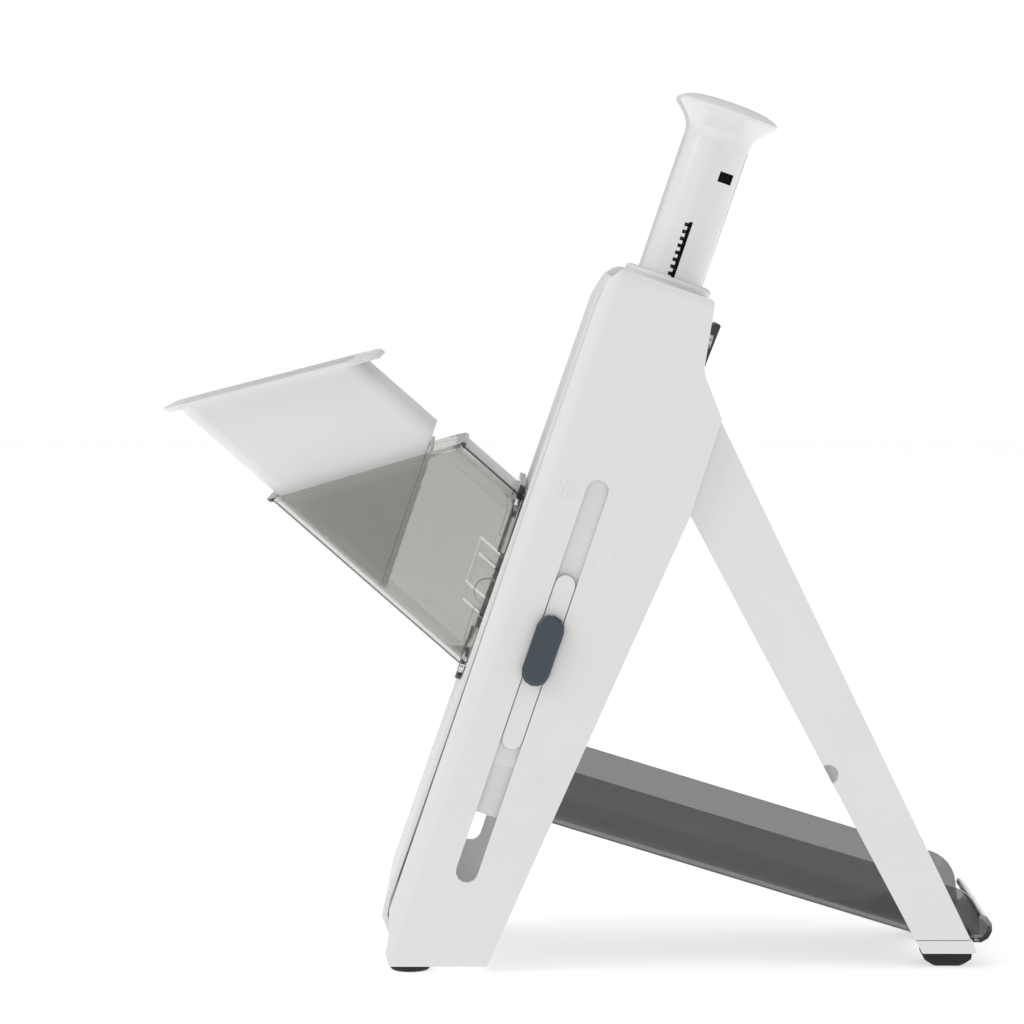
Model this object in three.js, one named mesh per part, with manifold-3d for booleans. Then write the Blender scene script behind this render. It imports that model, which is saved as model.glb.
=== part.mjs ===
// Upright press mandoline: a leaning body on two front feet and a folding rear leg, a sprung plunger that
// carries the blade past the mouth of a feed chute, a food pusher, and a catch tray between the legs.
// Millimetres, +Z up, +Y to the back, the chute on the -Y side. The origin is under the middle of the object.
import * as THREE from "three";
import { mergeVertices } from "three/addons/utils/BufferGeometryUtils.js";
import Module from "manifold-3d";

const wasm = await Module();
wasm.setup();

// ---------- driving dimensions ----------
// In the body frame x is the width, d the depth behind the front plane, h the height along the leaning axis.
const GAP = 0.3; // between pieces that touch
const RUN = 0.5; // each side of a piece that slides
const ARC_STEPS = 3; // pairs of facets in a rounded corner

const BODY = { lean: 18.8, width: 124, height: 329, frontY: -61.5, datumZ: 20, bottomZ: 3.3 };
const COVER = { edge: 5, wall: 2.5, rim: 3.2, noseDepth: 7.9, noseStep: 2.4, topBevel: 3 };
const BACK = { bottom: 51.8, kinkD: 73, kinkH: 231, wideD: 72.4, wideDrop: 51, neckD: 57.2, neckDrop: 33,
  topD: 51.5 };
const FRONT = { proudTop: 1.2, proudBottom: 3.5, wall: 2.6, topDrop: 17, curlH: 14 };
const TOP = { thick: 6.4, frontD: 5.6, backD: 52.1, collarRise: 3.6, collarWidth: 6.5, collarDepth: 5.5 };
const REAR = { wall: 2.5, d: 50, bottomH: 236 };
const BASE = { frontD: 4.6, backD: 49, topH: 0.8 };
const RAIL = { width: 6.1, wall: 2.5, front: 2.6, depth: 17.8, bottomH: 6 };
const LEDGE = { d: 38.8, depth: 6.2, thick: 7.3, topH: 69.8 };
const SLOT = { d: 28.5, width: 10.4 };
const TUBE = { width: 58, depth: 31, wall: 2.4, d: 30.6 };
const HEAD = { width: 88, depth: 49.5, flare: 14.5, dome: 6 };
const COMB_SLOT = { d: 29.6, bottomH: 332.3, pitch: 3.45, notches: 8, width: 1.8, notch: 1.7 };
const WINDOW = { d: 39.2, width: 6.6, height: 5, drop: 14.8 };
const CARRIAGE = { bottomH: 67.3, topH: 197.4, frontD: 21, backD: 36, stepH: 92.2, bar: 9.4, cheek: 6.4,
  screenH: 261, screen: 1.5 };
const PLATE = { thick: 2.5, faceD: 7, topH: 273, bladeH: 164.5, feedStep: 3, feedLength: 83, topClear: 2.6 };
const BLADE = { thick: 1.1, edge: 5.3, height: 21.5 };
const CLAMP = { thick: 3, height: 15, screwX: 30, screwR: 1.5, headR: 3.2, headHeight: 2 };
const COMB = { teeth: 14, pitch: 6, thick: 1, notch: 1.8, depth: 9, barD: 20.3, barThick: 2.7, barHeight: 5 };
const SHOE = { bottomH: 100.6, topH: 186.4, thick: 1.2, recess: 0.5, side: 0.4, stem: 4.4 };
const KNOB = { h: 149.7, length: 34.6, width: 13.2, proud: 4.3, bevel: 1.6, inset: 6, travel: 5 };
const SPRING = { x: 41, r: 4.2, wire: 0.6, turns: 15 };
const HANGER = { inner: 33, height: 16, frontD: 24, backD: 49.5 };
const HINGE = { d: 61.2, drop: 55.2, r: 3, boss: 6.5 };
const LEG = { spread: 25.9, thick: 5.4, back: 10.2, front: 21.6, frontH: 39, tip: 272.6, tipFront: 13,
  seamZ: 15.1, bottomZ: 8.5 };
const NOTCH = { along: 177, r: 5, rim: 2 };
const BAR = { front: 9, back: 9.6, topZ: 11 };
const FOOT = { r: 9.7, height: 3, chamfer: 1.2, fromFront: 12.8, fromSide: 12 };
const PAD = { inner: 24, outer: 45, half: 11.8, flat: 5.6, shoulder: 3.6, corner: 3 };
const TRAY = { d: 39.7, wall: 2.2, floor: 2.4, height: 27.6, corner: 8, ear: 17, rise: 5, slope: 17,
  length: 226.5, lip: 7, rest: 199, side: 0.8 };
const CHUTE = { rise: 22.5, height: 79.4, wall: 2.4, seatH: 125.4, seatD: 0.4, mouth: 125.4, mouthTop: 75,
  side: 5.6, endD: 5.5, flange: 3, flangeD: -6, flangeWidth: 4, rBottom: 9, rTop: 10,
  bead: 1.3, beadLength: 2.2, sill: 2.5 };
const LATCH = { root: -14.2, low: 25.9, high: 45.4, slit: 1.5, button: 6.1, buttonS: -20, buttonN: 35.3,
  proud: 1.4 };
const PUSHER = { side: 2, low: 1.4, high: 1.2, wall: 2, faceD: -50, out: 190, outTop: 135.8, flange: 2.4,
  overhang: 1.1, topOver: 4.6, tooth: 2.4, teeth: 9 };
const LEVER = { width: 26, pivotD: 54.4, pivotDrop: 31, pinR: 1.2, lug: 2.6, tip: 20.6 };

// ---------- places worked out from them ----------
const RAD = Math.PI / 180;
const HEIGHT = BODY.height;
const X_OUT = BODY.width / 2;
const X_WALL = X_OUT - COVER.wall; // inner face of a cover's skin
const X_RIM = X_OUT - COVER.edge; // inner edge of a cover's rim
const X_IN = X_RIM - GAP; // everything between the covers ends here
const RAIL_IN = X_IN - RAIL.width;
const PLATE_X = X_IN - RAIL.wall - 0.8;
const CHUTE_X = RAIL_IN - CHUTE.side;
const ARM_IN = X_IN - LEG.thick;
const TRAY_X = ARM_IN - TRAY.side;
const CHEEK_OUT = X_WALL - 0.6;
const CHEEK_IN = CHEEK_OUT - CARRIAGE.cheek;
const BLADE_X = CHUTE_X + RUN;
const CAP_UNDER = HEIGHT - 0.4 - TOP.thick;
const COLLAR_TOP = HEIGHT + TOP.collarRise;
const STROKE_DOWN = CARRIAGE.bottomH - BASE.topH - RUN;
const STROKE_UP = CAP_UNDER - PLATE.topClear - PLATE.topH;
const TUBE_TOP = COLLAR_TOP + STROKE_DOWN + 0.7;
const HINGE_H = HEIGHT - HINGE.drop;

const sinLean = Math.sin(BODY.lean * RAD);
const cosLean = Math.cos(BODY.lean * RAD);

// Height along the leaning axis of the level z at depth d.
function heightOfLevel(z, d) {
  return (z - BODY.datumZ + d * sinLean) / cosLean;
}

// World y and z of a point of the body frame.
function bodyToWorld(d, h) {
  return [BODY.frontY + h * sinLean + d * cosLean, BODY.datumZ + h * cosLean - d * sinLean];
}

const [HINGE_Y, HINGE_Z] = bodyToWorld(HINGE.d, HINGE_H);
const sinLeg = Math.sin(LEG.spread * RAD);
const cosLeg = Math.cos(LEG.spread * RAD);

// Along the leg (w, downwards negative), where the level z crosses the offset v behind the hinge line.
function legAtLevel(z, v) {
  return (z - HINGE_Z - v * sinLeg) / cosLeg;
}

const sinRise = Math.sin(CHUTE.rise * RAD);
const cosRise = Math.cos(CHUTE.rise * RAD);

// Depth and height in the body frame of a point s along the chute and n above its floor.
function chuteToBody(s, n) {
  return [CHUTE.seatD + s * cosRise + n * sinRise, CHUTE.seatH - s * sinRise + n * cosRise];
}

// ---------- materials ----------
function plastic(color, roughness, opacity = 1) {
  const transparent = opacity < 1;
  return new THREE.MeshStandardMaterial({ color, roughness, metalness: 0, opacity, transparent });
}

const WHITE = plastic(0xe3e3e1, 0.45);
const WARM_WHITE = plastic(0xe6e5df, 0.4);
const GLOSS_WHITE = plastic(0xf2f2f2, 0.2);
const CLEAR_WHITE = plastic(0xeef0f0, 0.35, 0.9);
const SMOKE = plastic(0x5b5f60, 0.12, 0.55);
const SMOKE_DARK = plastic(0x3f4446, 0.12, 0.6);
const SLATE = plastic(0x46525a, 0.45);
const DARK = plastic(0x3a3e42, 0.5);
const RUBBER = plastic(0x26272a, 0.85);
const STEEL = new THREE.MeshStandardMaterial({ color: 0xc9ccd0, roughness: 0.25, metalness: 1 });

// ---------- solids ----------
// A three.js geometry as a closed manifold solid.
function solid(geometry) {
  const plain = geometry.clone();
  plain.deleteAttribute("normal");
  plain.deleteAttribute("uv");
  const merged = mergeVertices(plain, 1e-4);
  const vertProperties = new Float32Array(merged.attributes.position.array);
  const triVerts = new Uint32Array(merged.index.array);
  return new wasm.Manifold(new wasm.Mesh({ numProp: 3, vertProperties, triVerts }));
}

function geometryOf(manifold) {
  const mesh = manifold.getMesh();
  const geometry = new THREE.BufferGeometry();
  geometry.setAttribute("position", new THREE.BufferAttribute(new Float32Array(mesh.vertProperties), 3));
  geometry.setIndex(new THREE.BufferAttribute(new Uint32Array(mesh.triVerts), 1));
  const flat = geometry.toNonIndexed();
  flat.computeVertexNormals();
  return flat;
}

function join(...parts) {
  return parts.reduce((sum, part) => sum.add(part));
}

function cut(from, ...tools) {
  return tools.reduce((left, tool) => left.subtract(tool), from);
}

function mirrored(manifold) {
  return manifold.mirror([1, 0, 0]);
}

// A closed outline from corners [u, v] or [u, v, radius], taken counter-clockwise.
function outline(corners) {
  const shape = new THREE.Shape();
  const count = corners.length;
  const place = (i) => new THREE.Vector2(...corners[(i + count) % count].slice(0, 2));
  corners.forEach(([u, v, radius = 0], i) => {
    const here = place(i);
    const from = place(i - 1).sub(here);
    const to = place(i + 1).sub(here);
    const move = i ? "lineTo" : "moveTo";
    if (!radius) {
      shape[move](u, v);
      return;
    }
    const half = Math.acos(THREE.MathUtils.clamp(from.dot(to) / (from.length() * to.length()), -1, 1)) / 2;
    const reach = Math.min(radius / Math.tan(half), 0.49 * from.length(), 0.49 * to.length());
    const r = reach * Math.tan(half);
    const start = here.clone().addScaledVector(from.normalize(), reach);
    const end = here.clone().addScaledVector(to.normalize(), reach);
    const centre = here.clone().addScaledVector(from.clone().add(to).normalize(), r / Math.sin(half));
    const a0 = Math.atan2(start.y - centre.y, start.x - centre.x);
    const a1 = Math.atan2(end.y - centre.y, end.x - centre.x);
    const clockwise = from.cross(to) > 0;
    shape[move](start.x, start.y);
    shape.absarc(centre.x, centre.y, r, a0, a1, clockwise);
  });
  shape.closePath();
  return shape;
}

function rectangle(u0, u1, v0, v1, radius = 0) {
  return outline([[u0, v0, radius], [u1, v0, radius], [u1, v1, radius], [u0, v1, radius]]);
}

// A slot-shaped outline with half-round ends, its long side along v.
function capsule(u, width, v0, v1) {
  const r = width / 2;
  const shape = new THREE.Shape();
  shape.absarc(u, v1 - r, r, 0, Math.PI, false);
  shape.absarc(u, v0 + r, r, Math.PI, 2 * Math.PI, false);
  shape.closePath();
  return shape;
}

function prism(shape, length, bevel, matrix) {
  const geometry = new THREE.ExtrudeGeometry(shape, {
    depth: length - 2 * bevel,
    steps: 1,
    curveSegments: ARC_STEPS,
    bevelEnabled: bevel > 0,
    bevelThickness: bevel,
    bevelSize: bevel,
    bevelOffset: -bevel,
    bevelSegments: 2,
  });
  geometry.translate(0, 0, bevel);
  return geometry.applyMatrix4(matrix);
}

// Outline in (y, z), drawn out along x.
function alongX(shape, x0, x1, bevel = 0) {
  const turn = new THREE.Matrix4().makeBasis(
    new THREE.Vector3(0, 1, 0), new THREE.Vector3(0, 0, 1), new THREE.Vector3(1, 0, 0));
  return solid(prism(shape, x1 - x0, bevel, turn.setPosition(x0, 0, 0)));
}

// Outline in (x, z), drawn out along y.
function alongY(shape, y0, y1, bevel = 0) {
  const turn = new THREE.Matrix4().makeBasis(
    new THREE.Vector3(1, 0, 0), new THREE.Vector3(0, 0, 1), new THREE.Vector3(0, -1, 0));
  return solid(prism(shape, y1 - y0, bevel, turn.setPosition(0, y1, 0)));
}

// Outline in (x, y), drawn out along z.
function alongZ(shape, z0, z1, bevel = 0) {
  return solid(prism(shape, z1 - z0, bevel, new THREE.Matrix4().setPosition(0, 0, z0)));
}

function block(x0, x1, y0, y1, z0, z1) {
  const geometry = new THREE.BoxGeometry(x1 - x0, y1 - y0, z1 - z0);
  return solid(geometry.translate((x0 + x1) / 2, (y0 + y1) / 2, (z0 + z1) / 2));
}

function rodX(x0, x1, y, z, r, sides = 24) {
  const geometry = new THREE.CylinderGeometry(r, r, x1 - x0, sides).rotateZ(Math.PI / 2);
  return solid(geometry.translate((x0 + x1) / 2, y, z));
}

function rodY(y0, y1, x, z, r, sides = 16) {
  return solid(new THREE.CylinderGeometry(r, r, y1 - y0, sides).translate(x, (y0 + y1) / 2, z));
}

// ---------- scene graph ----------
const object = new THREE.Group();
const assembly = new THREE.Group();
object.add(assembly);

function frame(name, parent, y, z, turn) {
  const group = new THREE.Group();
  group.name = name;
  group.position.set(0, y, z);
  group.rotation.x = turn * RAD;
  parent.add(group);
  return group;
}

const body = frame("body_frame", assembly, BODY.frontY, BODY.datumZ, -BODY.lean);
const leg = frame("leg_frame", assembly, HINGE_Y, HINGE_Z, LEG.spread);

function piece(name, manifold, material, parent) {
  const mesh = new THREE.Mesh(geometryOf(manifold), material);
  mesh.name = name;
  parent.add(mesh);
}

// The same piece on both sides of the middle plane.
function pair(name, manifold, material, parent) {
  piece(name + "_right", manifold, material, parent);
  piece(name + "_left", mirrored(manifold), material, parent);
}

// ---------- housing ----------
function coverOutline(inset) {
  const bottomFront = 8.3;
  const z = BODY.bottomZ + inset;
  return outline([
    [BACK.bottom - inset, heightOfLevel(z, BACK.bottom)],
    [BACK.kinkD - inset, BACK.kinkH, 12],
    [BACK.wideD - inset, HEIGHT - BACK.wideDrop - inset * 0.5, 4],
    [BACK.neckD - inset, HEIGHT - BACK.neckDrop, 10],
    [BACK.topD - inset, HEIGHT - inset, 2],
    [6.4 + inset, HEIGHT - inset, 6],
    [1.3 + inset, HEIGHT - 6.6 - inset * 0.6, 6],
    [inset, HEIGHT - 19],
    [inset, 10 + inset],
    [3.5 + inset, -1.4 + inset],
    [4.7 + inset, -9.7 + inset],
    [bottomFront + inset, heightOfLevel(z, bottomFront + inset), 1.5],
  ]);
}

function sideCover() {
  const far = BACK.kinkD + 10;
  const plate = alongX(coverOutline(0), X_RIM, X_OUT);
  const nose = alongZ(
    outline([[X_RIM, 0], [X_OUT - COVER.noseStep, COVER.noseStep], [X_OUT, COVER.noseDepth], [X_OUT, far],
      [X_RIM, far]]), -30, HEIGHT + 10);
  const top = alongY(
    outline([[X_RIM - 1, -30], [X_OUT, -30], [X_OUT, HEIGHT - COVER.topBevel],
      [X_OUT - COVER.topBevel * 0.6, HEIGHT], [X_RIM - 1, HEIGHT]]), -10, far);
  const pocket = alongX(coverOutline(COVER.rim), X_RIM - 1, X_WALL);
  const boss = rodX(X_RIM, X_WALL + 0.5, HINGE.d, HINGE_H, HINGE.boss);
  const bore = rodX(X_RIM - 1, X_WALL, HINGE.d, HINGE_H, HINGE.r + GAP);
  const slot = alongX(capsule(SLOT.d, SLOT.width, SHOE.bottomH - STROKE_DOWN - GAP,
    SHOE.topH + STROKE_UP + GAP), X_WALL - 1, X_OUT + 1);
  const shell = cut(plate.intersect(nose).intersect(top), pocket);
  return cut(join(shell, boss), bore, slot);
}

function frontFrame() {
  const topH = HEIGHT - FRONT.topDrop;
  const tip = FRONT.wall;
  const wall = alongX(outline([
    [-FRONT.proudTop, topH],
    [-FRONT.proudBottom, FRONT.curlH, 4],
    [-FRONT.proudBottom + 1, 6, 4],
    [3.4, -1.2],
    [3.4 + tip, 0.6],
    [-FRONT.proudBottom + 1 + tip, 7.5, 2],
    [-FRONT.proudBottom + tip, FRONT.curlH + 1, 2],
    [tip - FRONT.proudTop, topH],
    [3.2 + tip, HEIGHT - 5.6],
    [1.9, HEIGHT - 4.8],
    [0.6, HEIGHT - 9],
  ]), -X_IN, X_IN);
  const low = CHUTE.seatH - CHUTE.sill;
  const high = chuteLineH(-FRONT.proudBottom, CHUTE.height) + GAP;
  const opening = alongY(rectangle(-CHUTE_X - RUN, CHUTE_X + RUN, low, high, 8), -20, 20);
  const reach = CHUTE_X + LATCH.proud + RUN;
  const buttonH = chuteToBody(LATCH.buttonS, LATCH.buttonN)[1];
  const notches = block(-reach, reach, -20, 20, buttonH - LATCH.button - 1, buttonH + LATCH.button + 1);
  return cut(wall, opening, notches);
}

function stadium(width, depth, d) {
  const r = depth / 2;
  const x = width / 2 - r;
  const shape = new THREE.Shape();
  shape.absarc(x, d, r, -Math.PI / 2, Math.PI / 2, false);
  shape.absarc(-x, d, r, Math.PI / 2, 1.5 * Math.PI, false);
  shape.closePath();
  return shape;
}

function tubeOutline(grow) {
  return stadium(TUBE.width + 2 * grow, TUBE.depth + 2 * grow, TUBE.d);
}

function topCap() {
  const plate = alongX(outline([
    [TOP.frontD, CAP_UNDER], [TOP.backD, CAP_UNDER], [TOP.backD - 1.2, HEIGHT - 0.4, 1.5],
    [TOP.frontD + 4, HEIGHT - 0.4, 3],
  ]), -X_IN, X_IN);
  return cut(plate, alongZ(tubeOutline(RUN), CAP_UNDER - 1, HEIGHT + 1));
}

function collar() {
  const oval = stadium(TUBE.width + 2 * TOP.collarWidth, TUBE.depth + 2 * TOP.collarDepth, TUBE.d - 0.6);
  const ring = alongZ(oval, HEIGHT - 0.4 + GAP, COLLAR_TOP, 2.2);
  return cut(ring, alongZ(tubeOutline(RUN), HEIGHT - 5, COLLAR_TOP + 1));
}

// Depth of the rear cover's slanting outer face at height h.
function rearFace(h) {
  return THREE.MathUtils.mapLinear(h, HEIGHT - BACK.neckDrop, HEIGHT, BACK.neckD - 0.4, BACK.topD - 0.4);
}

function rearCover() {
  const neck = HEIGHT - BACK.neckDrop;
  const top = CAP_UNDER - GAP;
  const step = neck - 8;
  const skin = outline([
    [REAR.d, REAR.bottomH], [REAR.d + REAR.wall, REAR.bottomH], [REAR.d + REAR.wall, step],
    [rearFace(neck), neck, 3], [rearFace(top), top], [rearFace(top) - REAR.wall, top],
    [rearFace(neck) - REAR.wall, neck, 3], [REAR.d, step + 1],
  ]);
  const wide = alongX(skin, -X_IN, X_IN);
  const clear = (x0, x1) => block(x0, x1, REAR.d - 5, REAR.d + 30, REAR.bottomH - 5, HINGE_H + LEG.back + 2);
  const half = LEVER.width / 2 + RUN;
  const pivotH = HEIGHT - LEVER.pivotDrop;
  const window = block(-half, half, REAR.d - 5, REAR.d + 20, pivotH - 3.6, pivotH + LEVER.tip + 1);
  const lug = block(half, half + LEVER.lug, LEVER.pivotD - 2.6, LEVER.pivotD + 2.4, pivotH - 3, pivotH + 3);
  const reach = half + LEVER.lug + GAP;
  const bore = rodX(-reach, reach, LEVER.pivotD, pivotH, LEVER.pinR + GAP, 12);
  const screws = [-1, 1].map((side) => rodY(REAR.d - 8, REAR.d + 15, side * (SPRING.x - 1), screwHeight(),
    CLAMP.screwR + GAP));
  const plate = cut(wide, clear(-X_IN - 1, -RAIL_IN), clear(RAIL_IN, X_IN + 1), window);
  return cut(join(plate, lug, mirrored(lug)), bore, ...screws);
}

function screwHeight() {
  return HEIGHT - 19;
}

function rearScrew() {
  const h = screwHeight();
  const seat = rearFace(h - CLAMP.headR) + GAP;
  return join(rodY(seat, seat + CLAMP.headHeight, SPRING.x - 1, h, CLAMP.headR),
    rodY(HANGER.backD - 3, seat + 0.5, SPRING.x - 1, h, CLAMP.screwR));
}

function springHanger() {
  const top = CAP_UNDER - GAP;
  const bracket = block(HANGER.inner, X_IN, HANGER.frontD, HANGER.backD, top - HANGER.height, top);
  const bore = rodY(HANGER.backD - 4, HANGER.backD + 5, SPRING.x - 1, screwHeight(), CLAMP.screwR + GAP);
  return cut(bracket, bore,
    block(HANGER.inner - 1, X_IN - 3, HANGER.frontD + 9, HANGER.backD - 6, top - HANGER.height - 1, top - 3));
}

function baseBlock() {
  const z = BODY.bottomZ + GAP;
  return alongX(outline([
    [BASE.backD, heightOfLevel(z, BASE.backD)], [BASE.backD, BASE.topH], [8, BASE.topH, 3],
    [BASE.frontD, -2.6, 1], [BASE.frontD + 0.5, -9.2, 1], [8.9, heightOfLevel(z, 8.9)],
  ]), -X_IN, X_IN);
}

function guideRail() {
  const back = RAIL.front + RAIL.depth;
  const channel = outline([
    [RAIL_IN, RAIL.front], [X_IN, RAIL.front], [X_IN, back], [RAIL_IN, back], [RAIL_IN, back - RAIL.wall],
    [X_IN - RAIL.wall, back - RAIL.wall], [X_IN - RAIL.wall, RAIL.front + RAIL.wall],
    [RAIL_IN, RAIL.front + RAIL.wall],
  ]);
  return alongZ(channel, RAIL.bottomH, HEIGHT - FRONT.topDrop);
}

function trayLedge() {
  const shape = rectangle(LEDGE.d, LEDGE.d + LEDGE.depth, LEDGE.topH - LEDGE.thick, LEDGE.topH, 1.5);
  return alongX(shape, -X_IN, X_IN);
}

function addHousing() {
  pair("side_cover", sideCover(), WHITE, body);
  piece("front_frame", frontFrame(), WHITE, body);
  piece("top_cap", topCap(), WARM_WHITE, body);
  piece("plunger_collar", collar(), WARM_WHITE, body);
  piece("rear_cover", rearCover(), WHITE, body);
  pair("rear_screw", rearScrew(), STEEL, body);
  piece("base_block", baseBlock(), WHITE, body);
  pair("guide_rail", guideRail(), WHITE, body);
  pair("spring_hanger", springHanger(), WHITE, body);
  piece("tray_ledge", trayLedge(), WHITE, body);
  piece("leg_axle", rodX(-X_WALL + GAP, X_WALL - GAP, HINGE.d, HINGE_H, HINGE.r), STEEL, body);
  const clip = rodX(ARM_IN - 2.1, ARM_IN - 0.4, HINGE.d, HINGE_H, 6);
  pair("axle_clip", cut(clip, rodX(0, X_OUT, HINGE.d, HINGE_H, HINGE.r + GAP)), STEEL, body);
}

// ---------- plunger and carriage ----------
function plungerTube() {
  const bottom = CARRIAGE.topH + GAP;
  const top = TUBE_TOP - GAP;
  const bore = alongZ(tubeOutline(-TUBE.wall), bottom - 1, top - 4);
  const shell = cut(alongZ(tubeOutline(0), bottom, top), bore);
  const low = COMB_SLOT.bottomH;
  const length = COMB_SLOT.pitch * COMB_SLOT.notches;
  const channel = block(10, 40, COMB_SLOT.d, COMB_SLOT.d + COMB_SLOT.width, low, low + length);
  const notches = Array.from({ length: COMB_SLOT.notches }, (_, i) => {
    const h = low + COMB_SLOT.pitch * (i + 0.25);
    return block(10, 40, COMB_SLOT.d - COMB_SLOT.notch, COMB_SLOT.d + 0.1, h, h + COMB_SLOT.pitch / 2);
  });
  const windowH = TUBE_TOP - WINDOW.drop;
  const window = block(10, 40, WINDOW.d - WINDOW.width / 2, WINDOW.d + WINDOW.width / 2,
    windowH - WINDOW.height / 2, windowH + WINDOW.height / 2);
  return cut(shell, join(channel, ...notches), window);
}

// Trumpet-shaped head: the tube's outline, widened along a quarter round, with a domed top.
function plungerHead() {
  const rise = HEAD.flare + HEAD.dome;
  const geometry = new THREE.ExtrudeGeometry(stadium(TUBE.width, TUBE.depth, 0),
    { depth: rise, steps: 16, curveSegments: 8, bevelEnabled: false });
  const position = geometry.attributes.position;
  const widen = (from, to, t) => from + (to - from) * t;
  for (let i = 0; i < position.count; i++) {
    const z = position.getZ(i);
    const spread = 1 - Math.cos((Math.min(z / HEAD.flare, 1) ** 1.25 * Math.PI) / 2);
    const above = Math.max(z - HEAD.flare, 0) / HEAD.dome;
    const close = Math.sqrt(1 - 0.9 * above * above);
    position.setX(i, position.getX(i) * widen(1, HEAD.width / TUBE.width, spread) * close);
    position.setY(i, position.getY(i) * widen(1, HEAD.depth / TUBE.depth, spread) * close);
  }
  return solid(geometry.translate(0, TUBE.d, TUBE_TOP));
}

function carriageFrame() {
  const { bottomH, topH, frontD, backD, stepH, bar } = CARRIAGE;
  const cheeks = [-1, 1].map((side) => {
    const upper = block(CHEEK_IN, CHEEK_OUT, frontD, backD, stepH, topH);
    const lower = block(CHEEK_IN, CHEEK_OUT - 1, frontD, backD, bottomH, stepH + 1);
    const web = block(RAIL_IN - 4.4, RAIL_IN - 0.4, PLATE.faceD + PLATE.thick + GAP, backD, topH - 25, topH);
    const screen = block(CHEEK_OUT - CARRIAGE.screen, CHEEK_OUT, frontD, backD, topH - 1, CARRIAGE.screenH);
    const cheek = join(upper, lower, web, screen);
    return side > 0 ? cheek : mirrored(cheek);
  });
  const topBar = block(-CHEEK_OUT, CHEEK_OUT, frontD, backD, topH - bar, topH);
  const bottomBar = block(-CHEEK_OUT + 1, CHEEK_OUT - 1, frontD, frontD + 9, bottomH, bottomH + 8);
  const plug = alongZ(tubeOutline(-TUBE.wall - RUN), topH - 1, topH + 14);
  return join(...cheeks, topBar, bottomBar, plug);
}

function upperPlate() {
  const { faceD, thick, topH, bladeH } = PLATE;
  return alongY(rectangle(-PLATE_X, PLATE_X, bladeH + 5.7, topH, 1), faceD, faceD + thick);
}

const BLADE_D = PLATE.faceD + PLATE.thick + 0.4;

function bladeScrewHoles(radius) {
  const h = PLATE.bladeH + BLADE.edge + CLAMP.height / 2 + 2;
  return [-1, 1].map((side) => rodY(BLADE_D - 1, BLADE_D + 20, side * CLAMP.screwX, h, radius));
}

function mainBlade() {
  const { thick, edge, height } = BLADE;
  const h = PLATE.bladeH;
  const sheet = alongX(outline([
    [PLATE.faceD + 0.2, h], [PLATE.faceD + 0.9, h - 0.2], [BLADE_D + thick, h + edge - 0.8],
    [BLADE_D + thick, h + height], [BLADE_D, h + height], [BLADE_D, h + edge],
  ]), -BLADE_X, BLADE_X);
  return cut(sheet, ...bladeScrewHoles(CLAMP.screwR + GAP));
}

function bladeClamp() {
  const front = BLADE_D + BLADE.thick + GAP;
  const low = PLATE.bladeH + BLADE.edge + 2;
  const bar = alongX(rectangle(front, front + CLAMP.thick, low, low + CLAMP.height, 1), -BLADE_X, BLADE_X);
  return cut(bar, ...bladeScrewHoles(CLAMP.screwR + GAP));
}

function bladeScrew() {
  const back = BLADE_D + BLADE.thick + GAP + CLAMP.thick + GAP;
  const h = PLATE.bladeH + BLADE.edge + CLAMP.height / 2 + 2;
  return join(rodY(back, back + CLAMP.headHeight, CLAMP.screwX, h, CLAMP.headR),
    rodY(BLADE_D, back + 0.5, CLAMP.screwX, h, CLAMP.screwR));
}

function toothX(i) {
  return (i - (COMB.teeth - 1) / 2) * COMB.pitch;
}

const FEED_TOP = PLATE.bladeH - 1.5;

function feedPlate() {
  const face = PLATE.faceD + PLATE.feedStep;
  const plate = alongY(rectangle(-PLATE_X, PLATE_X, FEED_TOP - PLATE.feedLength, FEED_TOP), face,
    face + PLATE.thick);
  const notches = Array.from({ length: COMB.teeth }, (_, i) => block(toothX(i) - COMB.notch / 2,
    toothX(i) + COMB.notch / 2, face - 1, face + PLATE.thick + 1, FEED_TOP - COMB.depth, FEED_TOP + 1));
  return cut(plate, ...notches);
}

function julienneComb() {
  const half = toothX(COMB.teeth - 1) + 2;
  const low = FEED_TOP - COMB.depth + 0.6;
  const bar = block(-half, half, COMB.barD, COMB.barD + COMB.barThick, low, low + COMB.barHeight);
  const tip = PLATE.faceD + PLATE.feedStep + PLATE.thick + 0.4;
  const heel = COMB.barD + 0.5;
  const tooth = outline([[tip, low + 7.4], [tip + 2.4, low], [heel, low], [heel, low + 4]]);
  const teeth = Array.from({ length: COMB.teeth }, (_, i) =>
    alongX(tooth, toothX(i) - COMB.thick / 2, toothX(i) + COMB.thick / 2));
  return join(bar, ...teeth);
}

function slideShoe() {
  const outer = X_OUT - SHOE.recess;
  const inner = outer - SHOE.thick;
  const reach = KNOB.length / 2 - KNOB.inset + KNOB.travel + SHOE.side;
  const shoe = alongX(capsule(SLOT.d, SLOT.width - 2 * SHOE.side, SHOE.bottomH, SHOE.topH), inner, outer);
  const track = capsule(SLOT.d, SHOE.stem, KNOB.h - reach, KNOB.h + reach);
  return cut(shoe, alongX(track, outer - SHOE.thick - 1, outer + 1));
}

function knob() {
  const back = X_OUT + GAP;
  const low = KNOB.h - KNOB.length / 2;
  const high = KNOB.h + KNOB.length / 2;
  const cap = alongX(capsule(SLOT.d, KNOB.width, low, high), back, back + KNOB.proud, KNOB.bevel);
  const core = capsule(SLOT.d, SHOE.stem - 2 * SHOE.side, low + KNOB.inset, high - KNOB.inset);
  const stem = alongX(core, X_OUT - SHOE.recess - SHOE.thick, back + 1);
  return cut(join(cap, stem), block(X_OUT - 5, back, SLOT.d - 9, SLOT.d - SHOE.stem / 2 + SHOE.side - 0.01,
    low - 1, high + 1));
}

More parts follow.
